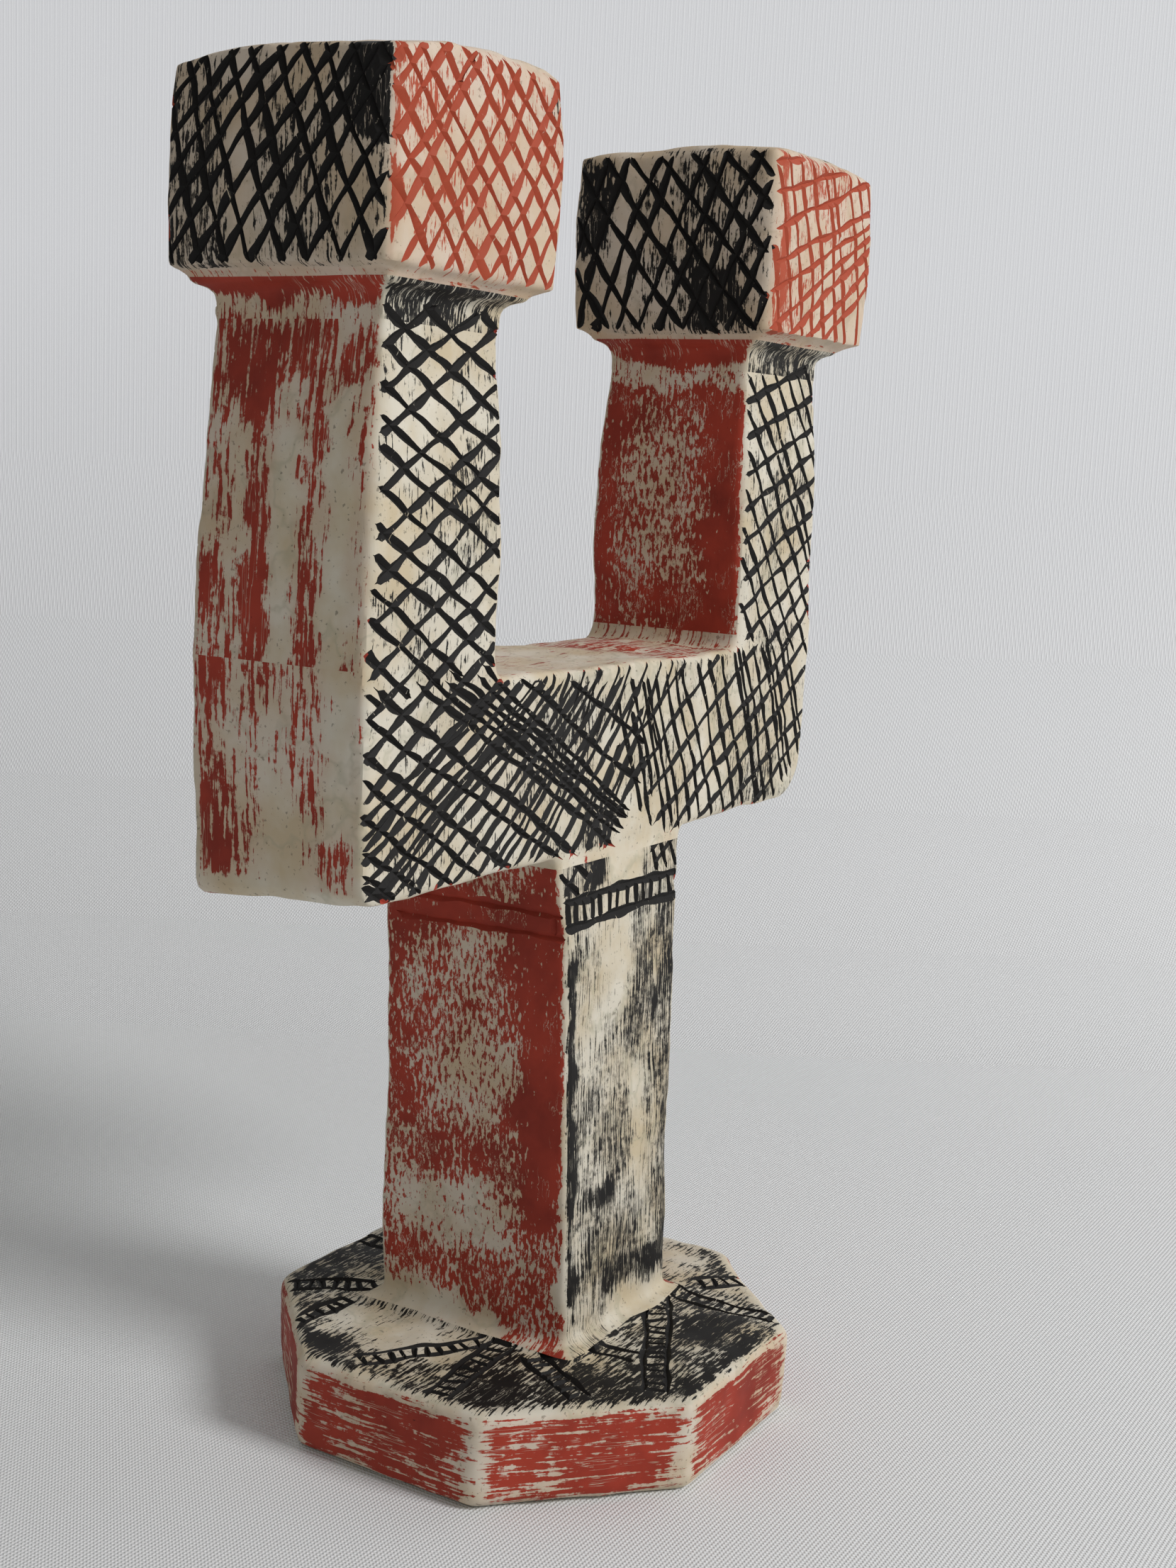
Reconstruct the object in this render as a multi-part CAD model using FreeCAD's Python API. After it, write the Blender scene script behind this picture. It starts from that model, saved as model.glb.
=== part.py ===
import FreeCAD, Part
import math
import os
from collections import namedtuple

from FreeCAD import Vector

# Fertility doll, carved from one block of soft stone: an eight-sided base, a square
# stem, and a U-shaped yoke whose two upright arms end in domed, square block heads.
# Lengths are millimetres. X runs along the yoke, -Y is the front, Z is up, and the
# origin is the middle of the underside of the base.
# The block has no joints in real life. It is written here as its carved members,
# which meet face to face on level planes.

# Base, carved a little off centre under the stem
base_across_flats = 94.5
base_height = 17.4
base_shift_x = -1.6
base_shift_y = -2.4
base_corner_round = 4.5
base_rim_round = 2.6
base_sole_bevel = 1.6

# Stem, with a cove where it springs from the base and a shoulder under the yoke
stem_length = 93.5
stem_foot_width = 37.4
stem_foot_depth = 42.8
stem_shoulder_width = 41.0
stem_shoulder_depth = 40.2
stem_shoulder_drop = 14.0
stem_shoulder_set_back = 1.6
stem_head_width = 44.8
stem_cove = 2.6
stem_edge_round = 1.3

# Yoke, the cross bar of the U
yoke_height = 33.8
yoke_depth = 35.0
yoke_inner_cove = 3.0
yoke_stem_cove = 2.0
yoke_edge_round = 1.2
left_heel_round = 3.0
right_heel_round = 10.0
heel_tuck = 1.5

# Arms, upright on the ends of the yoke
left_arm_inner_face = 44.8
right_arm_inner_face = 42.8
arm_top_above_yoke = 55.3
arm_foot_width = 35.2
arm_top_width = 31.7
arm_top_depth = 32.4
arm_edge_round = 1.2

# Necks, the coves that swell out under the heads
neck_height = 6.0
neck_cove = 2.6

# The thin lip that a cove runs out to, at a neck and at the foot of the stem
cove_lip = 0.25
cove_plate = 0.8

# Heads, square blocks with a domed crown
left_head_width = 45.8
left_head_depth = 43.3
left_head_height = 37.3
left_head_shift = 1.0
left_crown_lean = 16.4
right_head_width = 46.8
right_head_depth = 45.3
right_head_height = 38.6
right_head_shift = 2.8
right_crown_lean = 0.0
head_corner_round = 2.6
head_sole_height = 1.6
head_crown_radius = 178.0
head_crown_sag = 2.2
head_crown_bevel = 1.2

# Grooves, V-shaped. A net has two families of them: the lines of a family cross a ruler
# at even steps, from its first place to its last, and their slope, in degrees from level,
# changes evenly from the first line to the last. Places on a side are (u, v): u to the
# right of the middle as seen from in front of that side, and v up from the sole of the
# head or from the underside of the yoke. Only every fourth groove is cut here, from the
# line numbered first_main, as the main ones.
groove_width = 1.25
groove_depth = 0.55
groove_clearance = 0.5
main_every = 4
Family = namedtuple("Family", "first last slopes lines first_main")
left_half_families = (
    Family(first=(-79.0, 4.1), last=(-79.0, 61.1), slopes=(-31, -28), lines=12, first_main=2),
    Family(first=(-101.0, 1.1), last=(-6.0, 1.1), slopes=(29, 50), lines=17, first_main=0),
)
right_half_families = (
    Family(first=(11.0, 1.1), last=(80.0, 1.1), slopes=(-67, -63), lines=15, first_main=0),
    Family(first=(-26.0, 1.1), last=(66.0, 1.1), slopes=(33, 29), lines=9, first_main=0),
)
left_half_patch = ((-81.0, -0.7), (-2.0, -0.3), (7.0, 13.1), (4.0, 34.6), (-46.0, 34.6), (-81.0, 38.1))
right_half_patch = ((5.0, 11.1), (12.0, -0.3), (64.0, -0.3), (78.0, 11.1), (78.0, 38.1), (44.0, 34.6))
left_head_side_families = (
    Family(first=(-45.0, 1.5), last=(18.0, 1.5), slopes=(43, 57), lines=12, first_main=3),
    Family(first=(-27.0, 32.0), last=(19.0, 32.0), slopes=(-77, -61), lines=11, first_main=2),
)
left_head_front_families = (
    Family(first=(-49.35, 1.5), last=(19.65, 1.5), slopes=(47, 58), lines=13, first_main=2),
    Family(first=(-48.35, 34.0), last=(18.65, 34.0), slopes=(-47, -43), lines=12, first_main=1),
)
left_head_back_families = (
    Family(first=(-47.65, 1.5), last=(21.35, 1.5), slopes=(47, 55), lines=13, first_main=2),
    Family(first=(-45.65, 34.0), last=(21.35, 34.0), slopes=(-47, -43), lines=12, first_main=1),
)
right_head_side_families = (
    Family(first=(-27.0, 1.0), last=(18.5, 1.0), slopes=(73, 64), lines=10, first_main=1),
    Family(first=(-38.0, 36.0), last=(17.0, 36.0), slopes=(-55, -43), lines=9, first_main=0),
)
right_head_front_families = (
    Family(first=(-21.95, -1.0), last=(35.55, -1.0), slopes=(-70, -76), lines=12, first_main=1),
    Family(first=(-21.45, -16.0), last=(-21.45, 34.0), slopes=(37, 12), lines=9, first_main=2),
)
right_head_back_families = (
    Family(first=(-20.55, -1.0), last=(36.45, -1.0), slopes=(-70, -76), lines=12, first_main=1),
    Family(first=(-20.55, -16.0), last=(-20.55, 34.0), slopes=(37, 12), lines=9, first_main=2),
)

# Heights and depths that follow from the sizes above
base_top = base_height
yoke_bottom = base_top + stem_length
yoke_top = yoke_bottom + yoke_height
stem_seat = yoke_bottom - yoke_stem_cove
arm_seat = yoke_top + yoke_inner_cove
arm_top = yoke_top + arm_top_above_yoke
head_seat = arm_top + neck_height
yoke_front = -yoke_depth / 2
yoke_back = yoke_depth / 2

# Two levels or points this close are the same one
same = 0.001
# A cove in a corner of the yoke stops just short of the stub that it runs up
cove_share = 0.99


def rectangle(x0, x1, y0, y1, z):
    """Four corners of a level section, the same way round for every section of a member."""
    return [Vector(x0, y0, z), Vector(x1, y0, z), Vector(x1, y1, z), Vector(x0, y1, z)]


def centred_rectangle(middle_x, middle_y, width, depth, z):
    return rectangle(
        middle_x - width / 2,
        middle_x + width / 2,
        middle_y - depth / 2,
        middle_y + depth / 2,
        z,
    )


def flat_sided(sections):
    """Solid with flat sides from one section to the next."""
    faces = []
    for lower, upper in zip(sections, sections[1:]):
        for corner in range(4):
            after = (corner + 1) % 4
            side = [lower[corner], lower[after], upper[after], upper[corner]]
            faces.append(Part.Face(Part.makePolygon(side + side[:1])))
    for end in (sections[0], sections[-1]):
        faces.append(Part.Face(Part.makePolygon(end + end[:1])))
    return Part.makeSolid(Part.makeShell(faces))


def round_arrises(solid, radius):
    """Round the long edges, those that climb between a member's sections."""
    climbing = [edge for edge in solid.Edges if edge.BoundBox.ZLength > radius]
    return solid.makeFillet(radius, climbing)


def edges_at_height(solid, z):
    return [edge for edge in solid.Edges if abs(edge.BoundBox.ZMin - z) < same and edge.BoundBox.ZLength < same]


def with_cove(member, plate, cove, seam_z):
    """Join a member to the plate that it stands on or carries, with a cove between them."""
    joined = member.fuse(plate).removeSplitter()
    inside = plate.BoundBox
    seam = []
    for edge in edges_at_height(joined, seam_z):
        box = edge.BoundBox
        clear_of_rim = (
            box.XMin > inside.XMin + cove / 2
            and box.XMax < inside.XMax - cove / 2
            and box.YMin > inside.YMin + cove / 2
            and box.YMax < inside.YMax - cove / 2
        )
        if clear_of_rim:
            seam.append(edge)
    return joined.makeFillet(cove, seam)


def make_base():
    """Eight-sided slab with worn corners, rim and sole."""
    sides = 8
    half_side = math.pi / sides
    radius = base_across_flats / 2 / math.cos(half_side)
    turns = [half_side + step * 2 * half_side for step in range(sides)]
    middle = Vector(base_shift_x, base_shift_y, 0)
    points = [middle + Vector(radius * math.cos(turn), radius * math.sin(turn), 0) for turn in turns]
    outline = Part.makePolygon(points + points[:1])
    slab = Part.Face(outline).extrude(Vector(0, 0, base_height))
    slab = round_arrises(slab, base_corner_round)
    slab = slab.makeFillet(base_rim_round, edges_at_height(slab, base_height))
    return slab.makeChamfer(base_sole_bevel, edges_at_height(slab, 0))


def make_stem():
    """Square post: a cove at its foot, and a shoulder that runs flush into the yoke."""
    plate_top = base_top + cove_plate
    shoulder = yoke_bottom - stem_shoulder_drop
    post = flat_sided([
        centred_rectangle(0, 0, stem_foot_width, stem_foot_depth, base_top),
        centred_rectangle(0, stem_shoulder_set_back, stem_shoulder_width, stem_shoulder_depth, shoulder),
        centred_rectangle(0, 0, stem_head_width, yoke_depth, stem_seat),
    ])
    post = round_arrises(post, stem_edge_round)
    plate_width = stem_foot_width + 2 * (stem_cove + cove_lip)
    plate_depth = stem_foot_depth + 2 * (stem_cove + cove_lip)
    plate = flat_sided([
        centred_rectangle(0, 0, plate_width, plate_depth, base_top),
        centred_rectangle(0, 0, plate_width, plate_depth, plate_top),
    ])
    return with_cove(post, plate, stem_cove, plate_top)


def arc_between(start, centre, end):
    """Arc from start to end about centre, the short way round."""
    bisector = (start - centre).normalize() + (end - centre).normalize()
    middle = centre + bisector.normalize() * start.distanceToPoint(centre)
    return Part.Arc(start, middle, end).toShape()


def round_corner(before, corner, after, radius):
    """The two tangent points and the centre of an arc that rounds a corner."""
    to_before = (before - corner).normalize()
    to_after = (after - corner).normalize()
    half_angle = to_before.getAngle(to_after) / 2
    reach = radius / math.tan(half_angle)
    centre = corner + (to_before + to_after).normalize() * (radius / math.sin(half_angle))
    return corner + to_before * reach, centre, corner + to_after * reach


def rounded_outline(points_and_radii):
    """Closed wire through corners, each rounded by its own radius, zero for sharp."""
    count = len(points_and_radii)
    bends = []
    for place, (corner, radius) in enumerate(points_and_radii):
        before = points_and_radii[place - 1][0]
        after = points_and_radii[(place + 1) % count][0]
        if radius > 0:
            bends.append(round_corner(before, corner, after, radius))
        else:
            bends.append((corner, None, corner))
    edges = []
    for place, (first, centre, last) in enumerate(bends):
        if centre is not None:
            edges.append(arc_between(first, centre, last))
        following = bends[(place + 1) % count][0]
        if last.distanceToPoint(following) > same:
            edges.append(Part.LineSegment(last, following).toShape())
    return Part.Wire(edges)


def make_yoke():
    """Cross bar with short stubs for the stem and both arms, coved where they meet."""
    left_in = -left_arm_inner_face
    left_out = left_in - arm_foot_width
    right_in = right_arm_inner_face
    right_out = right_in + arm_foot_width
    half_stem = stem_head_width / 2
    front = yoke_front
    outline = rounded_outline([
        (Vector(left_out, front, arm_seat), 0),
        (Vector(left_out + heel_tuck, front, yoke_bottom), left_heel_round),
        (Vector(-half_stem, front, yoke_bottom), yoke_stem_cove * cove_share),
        (Vector(-half_stem, front, stem_seat), 0),
        (Vector(half_stem, front, stem_seat), 0),
        (Vector(half_stem, front, yoke_bottom), yoke_stem_cove * cove_share),
        (Vector(right_out - heel_tuck, front, yoke_bottom), right_heel_round),
        (Vector(right_out, front, arm_seat), 0),
        (Vector(right_in, front, arm_seat), 0),
        (Vector(right_in, front, yoke_top), yoke_inner_cove * cove_share),
        (Vector(left_in, front, yoke_top), yoke_inner_cove * cove_share),
        (Vector(left_in, front, arm_seat), 0),
    ])
    bar = Part.Face(outline).extrude(Vector(0, yoke_depth, 0))
    arrises = []
    for edge in bar.Edges:
        box = edge.BoundBox
        on_front_or_back = box.YLength < same
        on_a_seat = box.ZLength < same and (box.ZMin > arm_seat - same or box.ZMax < stem_seat + same)
        if on_front_or_back and not on_a_seat:
            arrises.append(edge)
    return bar.makeFillet(yoke_edge_round, arrises)


def arm_section(inner_face, side, width, depth, z, swell=0.0):
    """Section of an arm: its inner face stays upright while the outer one leans in."""
    inner = inner_face * side
    outer = (inner_face + width) * side
    half_depth = depth / 2 + swell
    return rectangle(min(inner, outer) - swell, max(inner, outer) + swell, -half_depth, half_depth, z)


def make_arm(inner_face, side):
    """Upright arm, thinner towards its neck."""
    arm = flat_sided([
        arm_section(inner_face, side, arm_foot_width, yoke_depth, arm_seat),
        arm_section(inner_face, side, arm_top_width, arm_top_depth, arm_top),
    ])
    return round_arrises(arm, arm_edge_round)


def make_neck(inner_face, side):
    """Cove that swells out from the arm to the sole of the head."""
    plate_bottom = head_seat - cove_plate
    flare = neck_cove + cove_lip
    shaft = flat_sided([
        arm_section(inner_face, side, arm_top_width, arm_top_depth, arm_top),
        arm_section(inner_face, side, arm_top_width, arm_top_depth, head_seat),
    ])
    plate = flat_sided([
        arm_section(inner_face, side, arm_top_width, arm_top_depth, plate_bottom, flare),
        arm_section(inner_face, side, arm_top_width, arm_top_depth, head_seat, flare),
    ])
    return with_cove(shaft, plate, neck_cove, plate_bottom)


def make_head(inner_face, side, width, depth, height, middle, crown_lean):
    """Square head: a sole that flares from the neck, and a domed crown with a worn edge."""
    sole_top = head_seat + head_sole_height
    crown_top = head_seat + height
    shoulder = crown_top - head_crown_sag - head_crown_bevel
    spread = 2 * (shoulder - sole_top)
    pinch = 2 * (crown_top - shoulder)
    flare = neck_cove + cove_lip
    block = flat_sided([
        centred_rectangle(middle, 0, width, depth, sole_top),
        centred_rectangle(middle, 0, width, depth, crown_top),
    ])
    block = round_arrises(block, head_corner_round)
    bevels = flat_sided([
        centred_rectangle(middle, 0, width + spread, depth + spread, sole_top),
        centred_rectangle(middle, 0, width - pinch, depth - pinch, crown_top),
    ])
    crown_middle = Vector(middle - side * crown_lean, 0, crown_top - head_crown_radius)
    level = Vector(0, 1, 0)
    block = block.common(bevels).common(Part.makeSphere(head_crown_radius, crown_middle, level, -90, 90, 360))
    sole = flat_sided([
        arm_section(inner_face, side, arm_top_width, arm_top_depth, head_seat, flare),
        centred_rectangle(middle, 0, width - head_corner_round, depth - head_corner_round, sole_top),
    ])
    return block.fuse(sole).removeSplitter()


def main_lines(family):
    """Where the main grooves of a family cross its ruler, and their slopes in radians."""
    first, last, slopes, lines, first_main = family
    found = []
    for line in range(first_main, lines, main_every):
        share = line / (lines - 1)
        u = first[0] + (last[0] - first[0]) * share
        v = first[1] + (last[1] - first[1]) * share
        found.append((u, v, math.radians(slopes[0] + (slopes[1] - slopes[0]) * share)))
    return found


def groove_bar(middle, u, v, slope, looks, rightwards):
    """Long V-shaped bar on a side that looks outwards and has its places from middle."""
    reach = 2 * yoke_depth + yoke_top
    run = rightwards * math.cos(slope) + Vector(0, 0, math.sin(slope))
    across = looks.cross(run)
    half_top = groove_width / 2 * (groove_depth + groove_clearance) / groove_depth
    start = middle + rightwards * u + Vector(0, 0, v) - run * reach
    profile = [
        start - looks * groove_depth,
        start + looks * groove_clearance + across * half_top,
        start + looks * groove_clearance - across * half_top,
    ]
    return Part.Face(Part.makePolygon(profile + profile[:1])).extrude(run * 2 * reach)


def cut_net(member, families, middle, looks, rightwards, patch=None):
    """Cut the main grooves of a net, all across a member or only inside a patch of its side.

    middle is the point of the side that u and v are measured from.
    """
    for family in families:
        for u, v, slope in main_lines(family):
            bar = groove_bar(middle, u, v, slope, looks, rightwards)
            if patch:
                sunk = middle - looks * groove_width
                corners = [sunk + rightwards * a + Vector(0, 0, b) for a, b in patch]
                block = Part.Face(Part.makePolygon(corners + corners[:1])).extrude(looks * 2 * groove_width)
                bar = bar.common(block)
            member = member.cut(bar)
    return member


def cut_yoke_nets(yoke):
    """The two halves of the net on the front of the yoke, and the same on its back."""
    for looks, rightwards in ((Vector(0, -1, 0), Vector(1, 0, 0)), (Vector(0, 1, 0), Vector(-1, 0, 0))):
        middle = looks * yoke_back + Vector(0, 0, yoke_bottom)
        yoke = cut_net(yoke, left_half_families, middle, looks, rightwards, left_half_patch)
        yoke = cut_net(yoke, right_half_families, middle, looks, rightwards, right_half_patch)
    return yoke


def head_middle(inner_face, side, shift):
    """How far the middle of a head lies from the middle of the figure, along X."""
    return side * (inner_face + arm_top_width / 2) + shift


def cut_head_nets(head, middle, width, depth, side_families, front_families, back_families):
    """Nets on the four sides of a head."""
    sole = Vector(middle, 0, head_seat)
    out, left, right = Vector(0, depth / 2, 0), Vector(-1, 0, 0), Vector(1, 0, 0)
    head = cut_net(head, side_families, sole + left * (width / 2), left, Vector(0, -1, 0))
    head = cut_net(head, side_families, sole + right * (width / 2), right, Vector(0, 1, 0))
    head = cut_net(head, front_families, sole - out, Vector(0, -1, 0), right)
    return cut_net(head, back_families, sole + out, Vector(0, 1, 0), left)


def main():
    os.makedirs("parts", exist_ok=True)
    left, right = -1, 1
    left_middle = head_middle(left_arm_inner_face, left, left_head_shift)
    right_middle = head_middle(right_arm_inner_face, right, right_head_shift)
    left_head = make_head(
        left_arm_inner_face, left, left_head_width, left_head_depth,
        left_head_height, left_middle, left_crown_lean,
    )
    right_head = make_head(
        right_arm_inner_face, right, right_head_width, right_head_depth,
        right_head_height, right_middle, right_crown_lean,
    )
    nodes = {
        "base": make_base(),
        "stem": make_stem(),
        "yoke": cut_yoke_nets(make_yoke()),
        "left_arm": make_arm(left_arm_inner_face, left),
        "right_arm": make_arm(right_arm_inner_face, right),
        "left_neck": make_neck(left_arm_inner_face, left),
        "right_neck": make_neck(right_arm_inner_face, right),
        "left_head": cut_head_nets(
            left_head, left_middle, left_head_width, left_head_depth,
            left_head_side_families, left_head_front_families, left_head_back_families,
        ),
        "right_head": cut_head_nets(
            right_head, right_middle, right_head_width, right_head_depth,
            right_head_side_families, right_head_front_families, right_head_back_families,
        ),
    }
    for name, shape in nodes.items():
        box = shape.BoundBox
        print(
            name, shape.isValid(), len(shape.Solids), "solid", round(shape.Volume), "mm3",
            "x %.1f to %.1f, y %.1f to %.1f, z %.1f to %.1f"
            % (box.XMin, box.XMax, box.YMin, box.YMax, box.ZMin, box.ZMax),
        )
        shape.exportStep("parts/" + name + ".step")


main()
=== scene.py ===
# %% [markdown]
# # A carved and painted soapstone fertility doll
# The real figure is one block of soft stone. A carver sawed and rasped it to a
# U-shaped body on a stem, cut fine grooves across it, laid on black and red paint,
# and then rubbed the paint back so that it stays in the grooves and in patches.
# This script follows the same order: block, hand-made unevenness, grooves, paint.

import math

import bmesh
import bpy
import numpy as np
from mathutils import Matrix, Vector
from mathutils.bvhtree import BVHTree


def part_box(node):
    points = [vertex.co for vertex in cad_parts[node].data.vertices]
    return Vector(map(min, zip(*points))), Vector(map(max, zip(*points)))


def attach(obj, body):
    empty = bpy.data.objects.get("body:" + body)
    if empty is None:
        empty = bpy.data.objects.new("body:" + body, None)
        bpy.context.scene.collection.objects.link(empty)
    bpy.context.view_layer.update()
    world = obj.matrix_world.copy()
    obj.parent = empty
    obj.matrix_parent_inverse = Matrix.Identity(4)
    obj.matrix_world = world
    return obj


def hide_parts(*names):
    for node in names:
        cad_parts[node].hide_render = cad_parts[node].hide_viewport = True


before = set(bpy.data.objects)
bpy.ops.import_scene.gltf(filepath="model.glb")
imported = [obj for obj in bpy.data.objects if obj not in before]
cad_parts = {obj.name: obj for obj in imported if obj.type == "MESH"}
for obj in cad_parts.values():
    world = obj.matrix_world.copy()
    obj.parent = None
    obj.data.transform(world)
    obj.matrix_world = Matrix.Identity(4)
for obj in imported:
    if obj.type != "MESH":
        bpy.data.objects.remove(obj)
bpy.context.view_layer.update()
mm = 0.001
print("frame nodes:", sorted(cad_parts))

# %% [markdown]
# ## Levels of the figure
# The nine members meet on level planes. The levels of the base, stem, arms and heads are
# read from the CAD members, so they follow the frame; the yoke's bottom and top are given as numbers.

# %% Read the levels from the frame
node_names = sorted(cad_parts)


def box_mm(name):
    """Lowest and highest corner of a CAD member, in millimetres."""
    low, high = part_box(name)
    return low / mm, high / mm


def width_at(name, z):
    """Left, right, front and back of a member at the level z, from its CAD corners."""
    points = np.array([v.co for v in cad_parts[name].data.vertices]) / mm
    ring = points[np.abs(points[:, 2] - z) < 0.7]
    return ring[:, 0].min(), ring[:, 0].max(), ring[:, 1].min(), ring[:, 1].max()


base_top = box_mm("base")[1].z
stem_seat = box_mm("stem")[1].z
arm_seat = box_mm("left_arm")[0].z
arm_top = box_mm("left_arm")[1].z
head_seat = box_mm("left_head")[0].z
yoke_bottom = 110.9
yoke_top = 144.7
print("levels:", [round(z, 1) for z in (base_top, stem_seat, arm_seat, arm_top, head_seat)])

# %% [markdown]
# ## From nine members back to one block
# A carving has no seams, so copies of the members are joined into one skin. Voxel
# remeshing then gives that skin an even net of small faces, which later steps can
# push about as a rasp would.

# %% Join copies of the members and remesh them
voxel = 0.7 * mm


stone = bpy.data.materials.new("soapstone_painted_and_rubbed_back")
cut_stone = bpy.data.materials.new("soapstone_groove_filled_with_paint")


def new_object(name, mesh):
    """An object in the scene, with the two stone materials in its slots."""
    if not mesh.materials:
        mesh.materials.append(stone)
        mesh.materials.append(cut_stone)
    thing = bpy.data.objects.new(name, mesh)
    bpy.context.scene.collection.objects.link(thing)
    return thing


def settle(thing):
    """Apply an object's modifiers and return its finished mesh."""
    view = bpy.context.evaluated_depsgraph_get()
    finished = bpy.data.meshes.new_from_object(thing.evaluated_get(view))
    thing.modifiers.clear()
    thing.data = finished
    return finished


def merged_copy(node_name):
    """A CAD member's loose triangles, joined in a mesh of their own."""
    bm = bmesh.new()
    bm.from_mesh(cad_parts[node_name].data)
    bmesh.ops.remove_doubles(bm, verts=bm.verts, dist=0.002 * mm)
    mesh = bpy.data.meshes.new("block_" + node_name)
    bm.to_mesh(mesh)
    bm.free()
    return new_object("block_" + node_name, mesh)


def cut(target, tool, operation):
    """One exact boolean, applied at once; the tool is then thrown away."""
    step = target.modifiers.new(operation.lower(), "BOOLEAN")
    step.operation = operation
    step.solver = "MANIFOLD"
    step.object = tool
    settle(target)
    bpy.data.objects.remove(tool)


block = merged_copy("base")
for node_name in node_names:
    if node_name != "base":
        cut(block, merged_copy(node_name), "UNION")

net = block.modifiers.new("net", "REMESH")
net.mode = "VOXEL"
net.voxel_size = voxel
soften = block.modifiers.new("soften", "SMOOTH")
soften.factor = 0.5
soften.iterations = 3
settle(block)
print("block:", len(block.data.vertices), "points")

# %% [markdown]
# ## The hand in the shape
# Nothing on a hand-carved figure is quite flat. Slow swells come from the adze and
# rasp, and short ones from sanding with coarse leaves or sand. Sums of a few sine
# waves with random directions give both, the same on every run.

# %% Rasp the block by hand


def swell(points, wavelength, seed):
    """Smooth random height between about -1 and 1 at each point, in millimetres."""
    dice = np.random.default_rng(seed)
    height = np.zeros(len(points))
    for _ in range(18):
        direction = dice.normal(size=3)
        direction /= np.linalg.norm(direction)
        turns = 2 * math.pi / (wavelength * dice.uniform(0.7, 1.6))
        height += np.sin(points @ direction * turns + dice.uniform(0, 2 * math.pi))
    return height / 4.2


def read_points(mesh):
    flat = np.zeros(len(mesh.vertices) * 3)
    mesh.vertices.foreach_get("co", flat)
    return flat.reshape(-1, 3) / mm


def write_points(mesh, points):
    mesh.vertices.foreach_set("co", (points * mm).ravel())
    mesh.update()


def read_normals(mesh):
    flat = np.zeros(len(mesh.vertices) * 3)
    mesh.vertices.foreach_get("normal", flat)
    return flat.reshape(-1, 3)


def flow(low, high, value):
    """0 at low, 1 at high, smooth between, and level beyond both."""
    share = np.clip((value - low) / (high - low), 0, 1)
    return share * share * (3 - 2 * share)


points = read_points(block.data)
normals = read_normals(block.data)
x, y, z = points.T.copy()
upright = 1 - flow(0.4, 0.7, np.abs(normals[:, 2]))
barrel = 0.6 * upright * flow(head_seat + 1, head_seat + 15, z) * flow(240.0, 228.0, z)
waist = 0.8 * upright * flow(arm_seat, 168.0, z) * flow(arm_top, 180.0, z)
heel_drop = 2.4 * flow(-60.0, -78.0, x) * flow(-14.0, 16.0, y) * flow(124.0, yoke_bottom, z)
foot_spread = 0.8 * (flow(34.0, 46.0, x) + flow(-34.0, -49.0, x) * flow(14.0, 2.0, z)) * flow(19.0, 17.0, z)
top_fall = 0.8 * flow(-5.0, 44.0, x) * flow(12.0, base_top, z) * flow(24.0, 20.0, z)
rasped = 0.28 * swell(points, 24.0, 3) + 0.10 * swell(points, 7.0, 5)
rasped[z < 1.0] = 0.0
points += normals * (rasped + barrel + waist)[:, None]
points[:, 0] += np.sign(x) * foot_spread
points[:, 2] -= heel_drop + top_fall
points[:, 2] = np.maximum(points[:, 2], 0.0)
write_points(block.data, points)
print("rasped by up to", round(float(np.abs(rasped).max()), 2), "mm")

# %% [markdown]
# ## Back to nine pieces
# The library wants the members apart, so boxes cut the block at the levels of the
# frame. Both neighbours get the same cut and then the same grooves, so no seam shows.

# %% Cut the block into the nine members
far = 150.0
base_cut = base_top + 0.6
spans = {
    "base": (-far, far, -20.0, base_cut),
    "stem": (-far, far, base_cut, stem_seat),
    "yoke": (-far, far, stem_seat, arm_seat),
    "left_arm": (-far, 0.0, arm_seat, arm_top),
    "right_arm": (0.0, far, arm_seat, arm_top),
    "left_neck": (-far, 0.0, arm_top, head_seat),
    "right_neck": (0.0, far, arm_top, head_seat),
    "left_head": (-far, 0.0, head_seat, 300.0),
    "right_head": (0.0, far, head_seat, 300.0),
}


def member_box(span):
    """A closed box that holds one member."""
    x0, x1, z0, z1 = span
    bm = bmesh.new()
    bmesh.ops.create_cube(bm, size=1)
    bmesh.ops.scale(bm, verts=bm.verts, vec=Vector((x1 - x0, 2 * far, z1 - z0)) * mm)
    bmesh.ops.translate(bm, verts=bm.verts, vec=Vector(((x0 + x1) / 2, 0, (z0 + z1) / 2)) * mm)
    mesh = bpy.data.meshes.new("member_box")
    bm.to_mesh(mesh)
    bm.free()
    return new_object("member_box", mesh)


pieces = {}
for name, span in spans.items():
    piece = new_object("carved_" + name, block.data.copy())
    cut(piece, member_box(span), "INTERSECT")
    piece.data.name = "carved_" + name
    pieces[name] = piece
    print(piece.name, len(piece.data.polygons), "faces")

# %% [markdown]
# ## The sides of each member
# The patterns are laid out side by side, as the carver did: each side is a flat
# sheet with u to the right and v up, both in millimetres, seen from in front of it.

# %% Sheets for the sides


class Sheet:
    """A side of the figure: where it lies, which way it looks and its own u axis."""

    def __init__(self, level, looks, along, up=(0, 0, 1)):
        self.looks = np.array(looks, float)
        self.along = np.array(along, float)
        self.up = np.array(up, float)
        self.level = level

    def place(self, u, v, height=0.0):
        """Points of the sheet in the figure, height millimetres above it."""
        u, v = np.asarray(u, float), np.asarray(v, float)
        middle = self.looks * (self.level + height)
        return middle + u[..., None] * self.along + v[..., None] * self.up


def front(level):
    return Sheet(level, (0, -1, 0), (1, 0, 0))


def back(level):
    return Sheet(level, (0, 1, 0), (-1, 0, 0))


def left(level):
    return Sheet(level, (-1, 0, 0), (0, -1, 0))


def right(level):
    return Sheet(level, (1, 0, 0), (0, 1, 0))


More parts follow.
